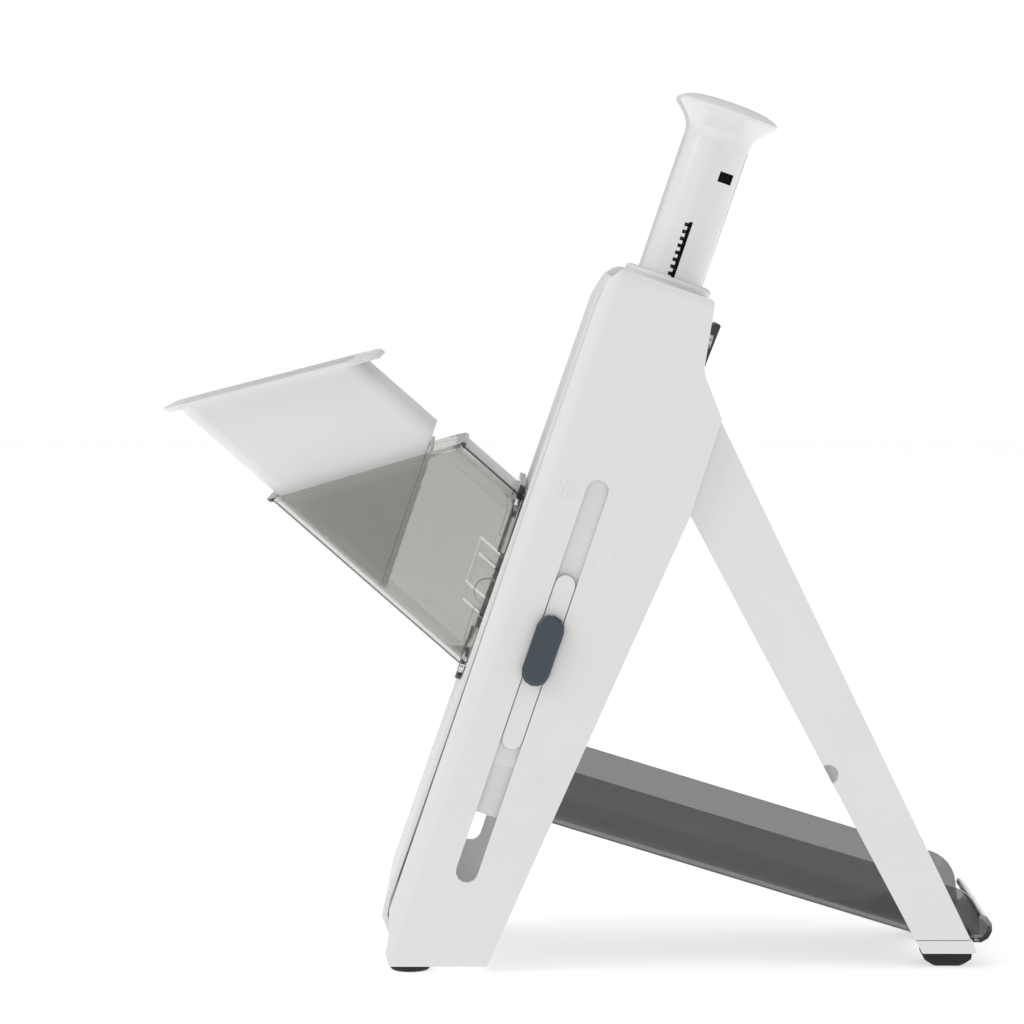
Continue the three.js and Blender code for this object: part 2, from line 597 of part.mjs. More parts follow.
// Round wire wound from the carriage up to its hanger.
function returnSpring() {
  const low = CARRIAGE.topH + GAP + SPRING.wire;
  const high = CAP_UNDER - GAP - HANGER.height - GAP - SPRING.wire;
  const points = [];
  const count = SPRING.turns * 10;
  for (let i = 0; i <= count; i++) {
    const angle = (i / count) * SPRING.turns * 2 * Math.PI;
    const z = THREE.MathUtils.lerp(low, high, i / count);
    points.push(new THREE.Vector3(SPRING.r * Math.cos(angle), SPRING.r * Math.sin(angle), z));
  }
  const wire = new THREE.Shape().absarc(0, 0, SPRING.wire, 0, 2 * Math.PI, false);
  const geometry = new THREE.ExtrudeGeometry(wire, {
    steps: count, curveSegments: 3, bevelEnabled: false, extrudePath: new THREE.CatmullRomCurve3(points),
  });
  return solid(geometry.translate(SPRING.x, SLOT.d, 0));
}

function addPlunger() {
  piece("plunger_tube", plungerTube(), GLOSS_WHITE, body);
  piece("plunger_head", plungerHead(), GLOSS_WHITE, body);
  piece("carriage_frame", carriageFrame(), WHITE, body);
  piece("upper_plate", upperPlate(), WHITE, body);
  piece("main_blade", mainBlade(), STEEL, body);
  piece("blade_clamp", bladeClamp(), WHITE, body);
  pair("blade_screw", bladeScrew(), STEEL, body);
  piece("feed_plate", feedPlate(), WHITE, body);
  piece("julienne_comb", julienneComb(), STEEL, body);
  pair("slide_shoe", slideShoe(), WHITE, body);
  piece("cut_selector_knob", knob(), SLATE, body);
  piece("thickness_knob", mirrored(knob()), SLATE, body);
  pair("return_spring", returnSpring(), STEEL, body);
}

// ---------- lock lever ----------
function addLever() {
  const h = HEIGHT - LEVER.pivotDrop;
  const d = LEVER.pivotD;
  const half = LEVER.width / 2;
  const wedge = alongX(outline([
    [d + 0.4, h - 2.8], [d + 5.2, h - 2.6, 1.6], [d + 6.2, h + LEVER.tip, 1], [d + 3.2, h + LEVER.tip, 1],
    [d + 0.8, h + 8], [d - 1.6, h + 4], [d - 2.4, h + 2], [d - 2.4, h - 2.1],
  ]), -half, half);
  piece("lock_lever", cut(wedge, rodX(-half - 1, half + 1, d, h, LEVER.pinR + GAP, 12)), DARK, body);
  const reach = half + RUN + LEVER.lug;
  piece("lever_pin", rodX(-reach, reach, d, h, LEVER.pinR, 12), STEEL, body);
}

// ---------- folding leg ----------
// Offset of the arm's tapering front edge at w along the leg.
function armFront(w) {
  return THREE.MathUtils.mapLinear(-w, LEG.frontH, LEG.tip, -LEG.front, -LEG.tipFront);
}

function armOutline(inset, bottomZ) {
  const footW = legAtLevel(bottomZ, -LEG.tipFront);
  const back = LEG.back - inset;
  return outline([
    [back, legAtLevel(bottomZ + inset, back)],
    [back, back, LEG.back],
    [-LEG.back + inset, back, LEG.back],
    [-LEG.front + inset, -LEG.frontH, 20],
    [armFront(footW) + inset, legAtLevel(bottomZ + inset, armFront(footW) + inset)],
  ]);
}

function legArm() {
  const plate = alongX(armOutline(0, LEG.seamZ), ARM_IN, X_IN);
  const pocket = alongX(armOutline(2.5, LEG.seamZ + 4), ARM_IN - 1, X_IN - 2.2);
  const hub = rodX(ARM_IN, X_IN - 1, 0, 0, HINGE.boss + 1.5);
  const bore = rodX(ARM_IN - 1, X_IN + 1, 0, 0, HINGE.r + GAP);
  const notchV = armFront(-NOTCH.along);
  const rim = rodX(ARM_IN, X_IN, notchV + 0.8, -NOTCH.along, NOTCH.r + NOTCH.rim);
  const notch = rodX(ARM_IN - 1, X_IN + 1, notchV, -NOTCH.along, NOTCH.r);
  const arm = cut(plate, pocket);
  return cut(join(arm, hub, rim.intersect(plate)), bore, notch);
}

function footCap() {
  const top = LEG.seamZ - GAP;
  const outer = alongX(armOutline(0, LEG.bottomZ), ARM_IN, X_IN);
  const above = alongX(outline([
    [-60, legAtLevel(top, -60)], [60, legAtLevel(top, 60)], [60, 60], [-60, 60],
  ]), ARM_IN - 1, X_IN + 1);
  return cut(outer, above);
}

function footBar() {
  const low = LEG.bottomZ;
  return alongX(outline([
    [-BAR.front, legAtLevel(low, -BAR.front)], [BAR.back, legAtLevel(low, BAR.back)],
    [BAR.back, legAtLevel(BAR.topZ, BAR.back), 1.5], [-BAR.front, legAtLevel(BAR.topZ, -BAR.front), 1.5],
  ]), -ARM_IN + GAP, ARM_IN - GAP);
}

const FOOT_Y = HINGE_Y + (LEG.back - LEG.tipFront) / 2 * cosLeg - legAtLevel(LEG.bottomZ, -1) * sinLeg;

// Rubber foot under the crossbar, rounded down to where it touches the floor.
function rearPad() {
  const { inner, outer, half, flat, shoulder, corner } = PAD;
  const top = LEG.bottomZ - GAP;
  const across = alongX(outline([
    [FOOT_Y - half, top], [FOOT_Y - half + 0.6, shoulder, 2], [FOOT_Y - flat, 0, 5], [FOOT_Y + flat, 0, 5],
    [FOOT_Y + half - 0.6, shoulder, 2], [FOOT_Y + half, top],
  ]), inner - 1, outer + 1);
  const along = outline([[inner, 0, corner], [outer, 0, corner], [outer, top + 1], [inner, top + 1]]);
  return across.intersect(alongY(along, FOOT_Y - half - 1, FOOT_Y + half + 1));
}

function frontFoot() {
  const { r, height, chamfer } = FOOT;
  const profile = [[0, 0], [r - chamfer, 0], [r, chamfer], [r, height], [0, height]];
  const geometry = new THREE.LatheGeometry(profile.map(([u, v]) => new THREE.Vector2(u, v)), 24);
  geometry.rotateX(Math.PI / 2);
  return solid(geometry.translate(X_OUT - FOOT.fromSide, BODY.frontY + FOOT.fromFront, 0));
}

function addLegAndFeet() {
  pair("leg_arm", legArm(), WHITE, leg);
  pair("rear_foot_cap", footCap(), WHITE, leg);
  piece("leg_crossbar", footBar(), WHITE, leg);
  pair("rear_foot_pad", rearPad(), RUBBER, assembly);
  pair("front_foot", frontFoot(), RUBBER, assembly);
}

// ---------- catch tray ----------
// In the tray's frame y runs down the floor to the back, and z is square to the floor.
function catchTray() {
  const { wall, floor, height, corner, ear, rise, length, lip, rest } = TRAY;
  const inside = TRAY_X - wall;
  const top = height + 5;
  const round = corner - wall;
  const channel = outline([
    [-TRAY_X, 0, corner], [TRAY_X, 0, corner], [TRAY_X, top], [inside, top],
    [inside, floor, round], [-inside, floor, round], [-inside, top], [-TRAY_X, top],
  ]);
  const trough = alongY(channel, 0, rest + 0.5);
  const back = alongY(channel, rest, length + 5);
  const lift = new THREE.Matrix4().set(1, 0, 0, 0, 0, 1, 0, 0, 0, rise / (length - rest), 1, 0, 0, 0, 0, 1);
  const lifted = back.translate([0, -rest, 0]).transform(lift.elements).translate([0, rest, 0]);
  const side = alongX(outline([
    [0, -1], [rest, -1], [length + 3, rise - 1], [length + 3.2, rise + 1], [length - 5.4, height, ear],
    [4, height, 4], [0, 8, 4],
  ]), -TRAY_X - 1, TRAY_X + 1);
  const front = block(-TRAY_X + 1, TRAY_X - 1, 0, wall, corner / 2, 11);
  const roll = new THREE.Shape();
  roll.absarc(length, rise + lip, lip, -Math.PI / 2, 0.55 * Math.PI, false);
  roll.absarc(length, rise + lip, lip - floor, 0.55 * Math.PI, -Math.PI / 2, true);
  roll.closePath();
  const rolled = alongX(roll, -inside - 0.5, inside + 0.5);
  return join(join(trough, lifted).intersect(side), front, rolled);
}

function addTray() {
  const [y, z] = bodyToWorld(TRAY.d, LEDGE.topH);
  const tray = frame("tray_frame", assembly, y, z + 0.7, -TRAY.slope);
  piece("catch_tray", catchTray(), SMOKE_DARK, tray);
}

// ---------- chute and pusher ----------
const chuteFrame = frame("chute_frame", body, CHUTE.seatD, CHUTE.seatH, -CHUTE.rise);

// Distance s along the chute, from its seat, at which the plane of depth d cuts the level n above its floor.
function alongChute(d, n) {
  return (d - CHUTE.seatD - n * sinRise) / cosRise;
}

// Height along the body at which the chute's line n crosses the depth d.
function chuteLineH(d, n) {
  return CHUTE.seatH - alongChute(d, n) * sinRise + n * cosRise;
}

// A body-frame solid moved into the chute's frame.
function inChuteFrame(manifold) {
  return manifold.translate([0, -CHUTE.seatD, -CHUTE.seatH]).rotate([CHUTE.rise, 0, 0]);
}

function chuteSection(inset, low, high, side) {
  const x = CHUTE_X - side;
  const rLow = Math.max(CHUTE.rBottom - inset, 1);
  const rHigh = Math.max(CHUTE.rTop - inset, 1);
  return outline([[-x, low, rLow], [x, low, rLow], [x, high, rHigh], [-x, high, rHigh]]);
}

function latchOutline(grow) {
  const end = CHUTE.endD + (grow ? 3 : 0);
  const corner = (d, n) => [alongChute(d, n), n];
  return outline([
    corner(LATCH.root - (grow ? 0 : -GAP), LATCH.low - grow), corner(end, LATCH.low - grow),
    corner(end, LATCH.high + grow), corner(LATCH.root - (grow ? 0 : -GAP), LATCH.high + grow),
  ]);
}

function chute() {
  const { wall, height, mouth, mouthTop, endD, flange, flangeD, flangeWidth, beadLength } = CHUTE;
  const far = -mouth - 20;
  const outer = alongY(chuteSection(0, 0, height, 0), far, 30);
  const inner = alongY(chuteSection(wall, wall, height - wall, wall), far - 1, 31);
  const side = alongX(outline([
    [-mouth, 0], [alongChute(endD, 0), 0], [alongChute(endD, height), height], [-mouthTop, height],
  ]), -CHUTE_X - 1, CHUTE_X + 1);
  const low = CHUTE.seatH - flangeWidth;
  const high = CHUTE.seatH + height * 1.13 + flangeWidth - 1;
  const plate = alongY(rectangle(-CHUTE_X - flangeWidth, CHUTE_X + flangeWidth, low, high, 9), flangeD,
    flangeD + flange);
  const lip = CHUTE.bead;
  const slant = (mouth - mouthTop) / height;
  const rimBand = alongX(outline([
    [-mouth - slant * lip, -lip], [-mouth - slant * lip + beadLength, -lip],
    [-mouthTop + slant * lip + beadLength, height + lip], [-mouthTop + slant * lip, height + lip],
  ]), -X_OUT, X_OUT);
  const bead = alongY(chuteSection(-lip, -lip, height + lip, -lip), far, 30).intersect(rimBand);
  const tube = join(outer.intersect(side), bead);
  const flanged = cut(join(tube, inChuteFrame(plate)), inner);
  const gateH = (n) => chuteLineH(flangeD, n);
  const gate = inChuteFrame(block(-X_OUT, X_OUT, flangeD - 1, flangeD + flange + 1, gateH(LATCH.low) - 8,
    gateH(LATCH.high) + 8)).subtract(alongY(rectangle(-CHUTE_X, CHUTE_X, -50, 150), far, 60));
  const window = alongX(latchOutline(LATCH.slit), -X_OUT, X_OUT);
  const band = join(
    alongY(rectangle(CHUTE_X - wall - 0.2, CHUTE_X + 0.2, -50, 150), far, 60),
    alongY(rectangle(-CHUTE_X - 0.2, -CHUTE_X + wall + 0.2, -50, 150), far, 60));
  return cut(flanged, gate, window.intersect(band));
}

function chuteLatch() {
  const tongue = alongX(latchOutline(0), CHUTE_X - CHUTE.wall, CHUTE_X);
  const button = rodX(CHUTE_X - 1, CHUTE_X + LATCH.proud, LATCH.buttonS, LATCH.buttonN, LATCH.button, 24);
  return join(tongue, button);
}

function pusherSection(inset) {
  const high = CHUTE.height - CHUTE.wall - PUSHER.high;
  return chuteSection(CHUTE.wall + 1 + inset, CHUTE.wall + PUSHER.low + inset, high - inset,
    CHUTE.wall + PUSHER.side + inset);
}

function foodPusher() {
  const { wall, faceD, out, outTop, flange, overhang, topOver, tooth } = PUSHER;
  const low = -overhang;
  const high = CHUTE.height + topOver;
  const topAt = (n) => THREE.MathUtils.mapLinear(n, 0, CHUTE.height, -out, -outTop);
  const back = faceD - tooth - GAP;
  const hull = alongX(outline([
    [topAt(low), low], [alongChute(back, low), low], [alongChute(back, high), high], [topAt(high), high],
  ]), -X_OUT, X_OUT);
  const hollow = alongX(outline([
    [topAt(low) - 9, low], [alongChute(back - wall, low), low], [alongChute(back - wall, high), high],
    [topAt(high) - 9, high],
  ]), -X_OUT, X_OUT);
  const solidCup = alongY(pusherSection(0), -out - 30, 10).intersect(hull);
  const space = alongY(pusherSection(wall), -out - 40, 11).intersect(hollow);
  const rimShape = alongY(chuteSection(-overhang, low, high, -overhang), -out - 40, 0);
  const rim = flange * 1.2;
  const rimBand = alongX(outline([
    [topAt(low), low], [topAt(low) + rim, low], [topAt(high) + rim, high], [topAt(high), high],
  ]), -X_OUT, X_OUT);
  return cut(join(solidCup, rimShape.intersect(rimBand)), space);
}

// Toothed plate on the pusher's inner end: ridges run across the width.
function gripPlate() {
  const { faceD, tooth, teeth } = PUSHER;
  const span = CHUTE.height * 1.2;
  const points = [];
  for (let i = 0; i <= teeth; i++) {
    const h = -10 + (span * i) / teeth;
    points.push([faceD, h + span / teeth / 2], [faceD - tooth / 2, h + span / teeth]);
  }
  const first = points[0];
  const last = points[points.length - 1];
  const profile = outline([[faceD - tooth, first[1]], ...points, [faceD - tooth, last[1]]]);
  const plate = alongX(profile, -X_OUT, X_OUT).translate([0, 0, CHUTE.seatH]);
  return inChuteFrame(plate).intersect(alongY(pusherSection(0), -200, 20));
}

function addChute() {
  piece("feed_chute", chute(), SMOKE, chuteFrame);
  pair("chute_latch", chuteLatch(), SMOKE, chuteFrame);
  piece("food_pusher", foodPusher(), CLEAR_WHITE, chuteFrame);
  piece("pusher_grip_plate", gripPlate(), CLEAR_WHITE, chuteFrame);
}

addHousing();
addPlunger();
addLever();
addLegAndFeet();
addTray();
addChute();

// Stand the object over the origin.
assembly.updateMatrixWorld(true);
const bounds = new THREE.Box3().setFromObject(assembly, true);
assembly.position.set(0, -(bounds.min.y + bounds.max.y) / 2, 0);

export default object;
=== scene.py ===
"""Looks of an upright press slicer: white moulded body, smoked chute and tray, frosted pusher, steel works.

Metres, +Z up. The chute is on the -Y side, the folding leg and the tray are on the +Y side, and the
selector with the pattern marks is on the +X side.
"""

import logging
import math
from dataclasses import dataclass
from enum import Enum
from typing import ClassVar, Optional

import bpy
from mathutils import Matrix, Vector


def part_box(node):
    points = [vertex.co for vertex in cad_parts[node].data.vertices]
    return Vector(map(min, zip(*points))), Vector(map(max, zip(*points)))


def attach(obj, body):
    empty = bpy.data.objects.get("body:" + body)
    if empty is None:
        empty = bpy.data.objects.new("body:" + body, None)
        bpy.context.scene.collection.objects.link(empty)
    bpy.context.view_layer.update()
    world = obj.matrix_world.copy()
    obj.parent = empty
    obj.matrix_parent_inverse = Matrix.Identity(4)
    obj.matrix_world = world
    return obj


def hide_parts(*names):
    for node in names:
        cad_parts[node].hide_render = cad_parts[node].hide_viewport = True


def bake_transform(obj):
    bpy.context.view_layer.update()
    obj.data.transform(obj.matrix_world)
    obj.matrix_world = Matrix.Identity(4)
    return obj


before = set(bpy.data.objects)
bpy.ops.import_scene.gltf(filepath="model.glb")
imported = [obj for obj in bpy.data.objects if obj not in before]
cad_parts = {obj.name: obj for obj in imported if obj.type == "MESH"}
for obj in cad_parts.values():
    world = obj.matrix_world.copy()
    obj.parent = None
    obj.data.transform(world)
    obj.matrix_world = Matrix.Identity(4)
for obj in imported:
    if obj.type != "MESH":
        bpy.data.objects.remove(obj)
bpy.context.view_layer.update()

LOG = logging.getLogger("slicer")
MM = 0.001
LEAN = math.radians(18.8)
SLOT_DEPTH = 28.5 * MM  # the side slot's middle behind the body's front plane
TUBE_DEPTH = 30.6 * MM  # the plunger tube's middle behind it
SHOE_MIDDLE = 143.5 * MM  # the slide shoe's middle along the body
WELD = 0.004 * MM  # vertices of a CAD solid that are closer than this are one
FLAT_WITHIN = math.radians(0.6)  # faces that turn less than this are one
SMOOTH_UNDER = math.radians(38)  # edges of a moulding that turn less than this look round
FACE_WEIGHT = 80  # how far the large faces pull the shading of their rounded edges

BOTH = ("right", "left")

Colour = tuple[float, float, float]


def srgb(red: int, green: int, blue: int) -> Colour:
    """A screen colour as the linear values that shaders take.

    Args:
        red: Red, 0 to 255.
        green: Green, 0 to 255.
        blue: Blue, 0 to 255.

    Returns:
        The three linear channels, 0 to 1.
    """
    def channel(level: int) -> float:
        """One channel made linear."""
        value = level / 255
        return value / 12.92 if value <= 0.04045 else ((value + 0.055) / 1.055) ** 2.4
    return channel(red), channel(green), channel(blue)


# ---------- places ----------
def body_frame() -> Matrix:
    """The leaning body's own frame: x across, y into the depth, z up along the body.

    Returns:
        The matrix from that frame to the world, found from the slide shoe's place.
    """
    low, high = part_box("slide_shoe_right")
    depth = Vector((0, math.cos(LEAN), -math.sin(LEAN)))
    height = Vector((0, math.sin(LEAN), math.cos(LEAN)))
    middle = (low + high) / 2
    middle.x = 0
    origin = middle - depth * SLOT_DEPTH - height * SHOE_MIDDLE
    matrix = Matrix((Vector((1, 0, 0)), depth, height)).transposed().to_4x4()
    matrix.translation = origin
    return matrix


BODY_FRAME = body_frame()
COVER_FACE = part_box("side_cover_right")[1].x  # outer face of the right cover


# ---------- modelling helpers ----------
def deselect() -> None:
    """Leave edit mode and select nothing."""
    if bpy.context.object and bpy.context.object.mode != "OBJECT":
        bpy.ops.object.mode_set(mode="OBJECT")
    bpy.ops.object.select_all(action="DESELECT")


def activate(piece: bpy.types.Object) -> None:
    """Select one object alone and make it the active one."""
    deselect()
    piece.select_set(True)
    bpy.context.view_layer.objects.active = piece


def open_mesh(piece: bpy.types.Object, mode: str = "FACE") -> None:
    """Enter edit mode on a piece with all of its mesh selected."""
    activate(piece)
    bpy.ops.object.mode_set(mode="EDIT")
    bpy.ops.mesh.select_mode(type=mode)
    bpy.ops.mesh.select_all(action="SELECT")


def settle(piece: bpy.types.Object, matrix: Matrix) -> bpy.types.Object:
    """Put a piece in place and move that place into its mesh.

    Args:
        piece: An object modelled round its own origin.
        matrix: Where that origin goes.

    Returns:
        The same object, at the world's origin.
    """
    activate(piece)
    piece.matrix_world = matrix @ piece.matrix_world
    bpy.ops.object.transform_apply(location=True, rotation=True, scale=True)
    return piece


def apply_modifiers(piece: bpy.types.Object) -> None:
    """Apply a piece's modifiers in order."""
    activate(piece)
    for modifier in list(piece.modifiers):
        bpy.ops.object.modifier_apply(modifier=modifier.name)


def take_shape(node: str, name: str) -> bpy.types.Object:
    """A welded copy of a CAD solid, its flat faces joined.

    Args:
        node: The CAD node to copy.
        name: Name of the new piece.

    Returns:
        The new object.
    """
    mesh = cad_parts[node].data.copy()
    mesh.materials.clear()
    piece = bpy.data.objects.new(name, mesh)
    bpy.context.scene.collection.objects.link(piece)
    open_mesh(piece, "VERT")
    bpy.ops.mesh.customdata_custom_splitnormals_clear()
    bpy.ops.mesh.remove_doubles(threshold=WELD)
    bpy.ops.mesh.dissolve_limited(angle_limit=FLAT_WITHIN, delimit={"NORMAL"})
    deselect()
    return piece


def round_edges(piece: bpy.types.Object, width: float, segments: int, crease: float) -> None:
    """Bevel a piece's sharp edges and shade it as a moulding.

    Args:
        piece: The object to finish.
        width: Bevel width in millimetres.
        segments: Steps across the bevel.
        crease: Angle in degrees over which an edge counts as sharp.
    """
    bevel = piece.modifiers.new("edge", "BEVEL")
    bevel.width = width * MM
    bevel.segments = segments
    bevel.limit_method = "ANGLE"
    bevel.angle_limit = math.radians(crease)
    bevel.miter_outer = "MITER_ARC"
    bevel.use_clamp_overlap = True
    apply_modifiers(piece)
    bpy.ops.object.shade_smooth_by_angle(angle=SMOOTH_UNDER)
    weighted = piece.modifiers.new("normals", "WEIGHTED_NORMAL")
    weighted.keep_sharp = True
    weighted.weight = FACE_WEIGHT
    apply_modifiers(piece)


def sink_foot(piece: bpy.types.Object, band: float, drop: float, spread: float = 0.0) -> None:
    """Lower a piece's underside along the leaning axis, onto what it stands on.

    Args:
        piece: The piece.
        band: Height of the underside that moves, in metres.
        drop: How far it moves, in metres.
        spread: How far it also widens, in metres.
    """
    into_body = BODY_FRAME.inverted()
    places = [into_body @ vertex.co for vertex in piece.data.vertices]
    foot = min(place.z for place in places)
    for vertex, place in zip(piece.data.vertices, places):
        if place.z < foot + band:
            outward = Vector((place.x, place.y - TUBE_DEPTH, 0)).normalized() * spread
            vertex.co = BODY_FRAME @ (place + outward - Vector((0, 0, drop)))


def smooth_surface(piece: bpy.types.Object, levels: int, crease: float, firmness: float = 0.85) -> None:
    """Round a lofted piece by subdivision, keeping its sharp rims.

    Args:
        piece: The object to finish.
        levels: Times that it is subdivided.
        crease: Angle in degrees over which a rim stays sharp.
        firmness: How sharp such a rim stays, up to 1.
    """
    open_mesh(piece, "EDGE")
    loosely = math.radians(60)
    bpy.ops.mesh.tris_convert_to_quads(face_threshold=loosely, shape_threshold=loosely)
    bpy.ops.mesh.select_all(action="DESELECT")
    bpy.ops.mesh.edges_select_sharp(sharpness=math.radians(crease))
    bpy.ops.transform.edge_crease(value=firmness)
    deselect()
    subdivision = piece.modifiers.new("surface", "SUBSURF")
    subdivision.levels = levels
    subdivision.render_levels = levels
    apply_modifiers(piece)
    bpy.ops.object.shade_smooth_by_angle(angle=math.radians(50))


def joined(name: str, pieces: list[bpy.types.Object]) -> bpy.types.Object:
    """Several small shapes as one piece.

    Args:
        name: Name of the piece.
        pieces: The shapes, the first of which stays.

    Returns:
        The joined object.
    """
    deselect()
    for piece in pieces:
        piece.select_set(True)
    bpy.context.view_layer.objects.active = pieces[0]
    bpy.ops.object.join()
    pieces[0].name = name
    return pieces[0]


def raised_bar(length: float, width: float, proud: float,
               taper: tuple[float, float] = (0.7, 0.94)) -> bpy.types.Object:
    """A raised line with round ends, lying along z and standing out along +x.

    Args:
        length: Overall length.
        width: Width across.
        proud: How far it stands out.
        taper: Its top's width and length, as shares of its foot's.

    Returns:
        The bar, round its own middle.
    """
    bpy.ops.mesh.primitive_circle_add(vertices=20, radius=width / 2, fill_type="NGON",
                                      rotation=(0, math.pi / 2, 0))
    bar = bpy.context.object
    bpy.ops.object.transform_apply(location=True, rotation=True, scale=True)
    half = max(0.0, (length - width) / 2)
    for vertex in bar.data.vertices:
        vertex.co.z += half if vertex.co.z >= 0 else -half
    open_mesh(bar)
    bpy.ops.mesh.extrude_region_move(TRANSFORM_OT_translate={"value": (proud, 0, 0)})
    bpy.ops.transform.resize(value=(1, *taper))
    bpy.ops.mesh.select_all(action="SELECT")
    bpy.ops.mesh.normals_make_consistent(inside=False)
    deselect()
    return bar


def raised_ring(radius: float, band: float, flat: float = 0.7) -> bpy.types.Object:
    """A raised ring round the x axis.

    Args:
        radius: Middle radius of the ring.
        band: Radius of its rounded section.
        flat: How far its section is pressed down.

    Returns:
        The ring, round its own middle.
    """
    bpy.ops.mesh.primitive_torus_add(major_segments=56, minor_segments=10, major_radius=radius,
                                     minor_radius=band, rotation=(0, math.pi / 2, 0))
    ring = bpy.context.object
    bpy.ops.object.transform_apply(location=True, rotation=True, scale=True)
    open_mesh(ring)
    bpy.ops.transform.resize(value=(flat, 1, 1))
    deselect()
    return ring


# ---------- finishes ----------
class Tree:
    """A node tree that is filled by short calls."""

    def __init__(self, tree: bpy.types.NodeTree) -> None:
        """Start on an empty tree."""
        self.tree = tree
        tree.nodes.clear()

    def add(self, kind: str, **values: object) -> bpy.types.Node:
        """Add a node and set its properties and sockets.

        Args:
            kind: The node's type after "ShaderNode" or "NodeGroup".
            values: A property by its own name, or a socket by its name with _ for a space.

        Returns:
            The new node.
        """
        known = kind if kind.startswith("NodeGroup") else "ShaderNode" + kind
        node = self.tree.nodes.new(known)
        for key, value in values.items():
            if hasattr(node, key):
                setattr(node, key, value)
            else:
                node.inputs[key.replace("_", " ")].default_value = value
        return node

    def link(self, source: bpy.types.NodeSocket, target: bpy.types.NodeSocket) -> None:
        """Join an output to an input."""
        self.tree.links.new(source, target)


def start_group(name: str, inputs: dict[str, float],
                outputs: list[str]) -> tuple[Tree, bpy.types.Node, bpy.types.Node]:
    """A new shader group with a vector input, number inputs and number outputs.

    Args:
        name: The group's name.
        inputs: Number inputs and their defaults.
        outputs: Number outputs.

    Returns:
        The tree with its input and output nodes.
    """
    group = bpy.data.node_groups.new(name, "ShaderNodeTree")
    group.interface.new_socket("Vector", in_out="INPUT", socket_type="NodeSocketVector")
    for label, value in inputs.items():
        group.interface.new_socket(label, in_out="INPUT", socket_type="NodeSocketFloat").default_value = value
    for label in outputs:
        group.interface.new_socket(label, in_out="OUTPUT", socket_type="NodeSocketFloat")
    tree = Tree(group)
    return tree, tree.add("NodeGroupInput"), tree.add("NodeGroupOutput")


def grain_group() -> bpy.types.NodeTree:
    """Moulded plastic's skin: a fine texture, slow waves of tone and patches of gloss."""
    tree, start, end = start_group("moulding_grain", {"Grain": 2600, "Cloud": 22}, ["Height", "Tone", "Gloss"])
    texture = tree.add("TexNoise", Detail=3.0, Roughness=0.6)
    cloud = tree.add("TexNoise", Detail=4.0, Roughness=0.55)
    patch = tree.add("TexNoise", Detail=5.0, Roughness=0.65)
    finer = tree.add("Math", operation="MULTIPLY")
    finer.inputs[1].default_value = 7.0
    tree.link(start.outputs["Cloud"], finer.inputs[0])
    scales = ((texture, start.outputs["Grain"]), (cloud, start.outputs["Cloud"]), (patch, finer.outputs[0]))
    for node, scale in scales:
        tree.link(start.outputs["Vector"], node.inputs["Vector"])
        tree.link(scale, node.inputs["Scale"])
    tree.link(texture.outputs["Fac"], end.inputs["Height"])
    tree.link(cloud.outputs["Fac"], end.inputs["Tone"])
    tree.link(patch.outputs["Fac"], end.inputs["Gloss"])
    return tree.tree


def scuff_group() -> bpy.types.NodeTree:
    """Hairline scuffs from handling: thin marks that cross at two slants."""
    tree, start, end = start_group("hairline_scuffs", {"Amount": 0.3}, ["Mask"])
    masks = []
    long_way, fine_way = 60, 1400
    for turn in (0.5, 1.9):
        mapping = tree.add("Mapping")
        mapping.inputs["Rotation"].default_value = (turn, turn * 0.4, turn * 0.7)
        mapping.inputs["Scale"].default_value = (long_way, fine_way, long_way)
        noise = tree.add("TexNoise", Scale=1.0, Detail=1.0)
        tree.link(start.outputs["Vector"], mapping.inputs["Vector"])
        tree.link(mapping.outputs["Vector"], noise.inputs["Vector"])
        line = tree.add("MapRange")
        line.inputs["From Min"].default_value = 0.66
        line.inputs["From Max"].default_value = 0.74
        tree.link(noise.outputs["Fac"], line.inputs["Value"])
        masks.append(line.outputs["Result"])
    both = tree.add("Math", operation="MAXIMUM")
    tree.link(masks[0], both.inputs[0])
    tree.link(masks[1], both.inputs[1])
    scaled = tree.add("Math", operation="MULTIPLY")
    tree.link(both.outputs[0], scaled.inputs[0])
    tree.link(start.outputs["Amount"], scaled.inputs[1])
    tree.link(scaled.outputs[0], end.inputs["Mask"])
    return tree.tree


def brushing_group() -> bpy.types.NodeTree:
    """Lines left on steel by grinding: long across x and very fine the other way."""
    tree, start, end = start_group("ground_lines", {"Fineness": 9000, "Length": 35}, ["Height", "Tone"])
    stretch = tree.add("CombineXYZ")
    tree.link(start.outputs["Length"], stretch.inputs["X"])
    tree.link(start.outputs["Fineness"], stretch.inputs["Y"])
    tree.link(start.outputs["Fineness"], stretch.inputs["Z"])
    scaled = tree.add("VectorMath", operation="MULTIPLY")
    tree.link(start.outputs["Vector"], scaled.inputs[0])
    tree.link(stretch.outputs["Vector"], scaled.inputs[1])
    fine = tree.add("TexNoise", Scale=1.0, Detail=2.0)
    broad = tree.add("TexNoise", Scale=0.13, Detail=2.0)
    for node in (fine, broad):
        tree.link(scaled.outputs["Vector"], node.inputs["Vector"])
    tree.link(fine.outputs["Fac"], end.inputs["Height"])
    tree.link(broad.outputs["Fac"], end.inputs["Tone"])
    return tree.tree


class Effect(Enum):
    """The surface effects that several finishes share."""

    GRAIN = "moulding_grain"
    SCUFFS = "hairline_scuffs"
    BRUSHING = "ground_lines"

    def tree(self) -> bpy.types.NodeTree:
        """The effect's shader group, built the first time that it is asked for."""
        makers = {Effect.GRAIN: grain_group, Effect.SCUFFS: scuff_group, Effect.BRUSHING: brushing_group}
        return bpy.data.node_groups.get(self.value) or makers[self]()


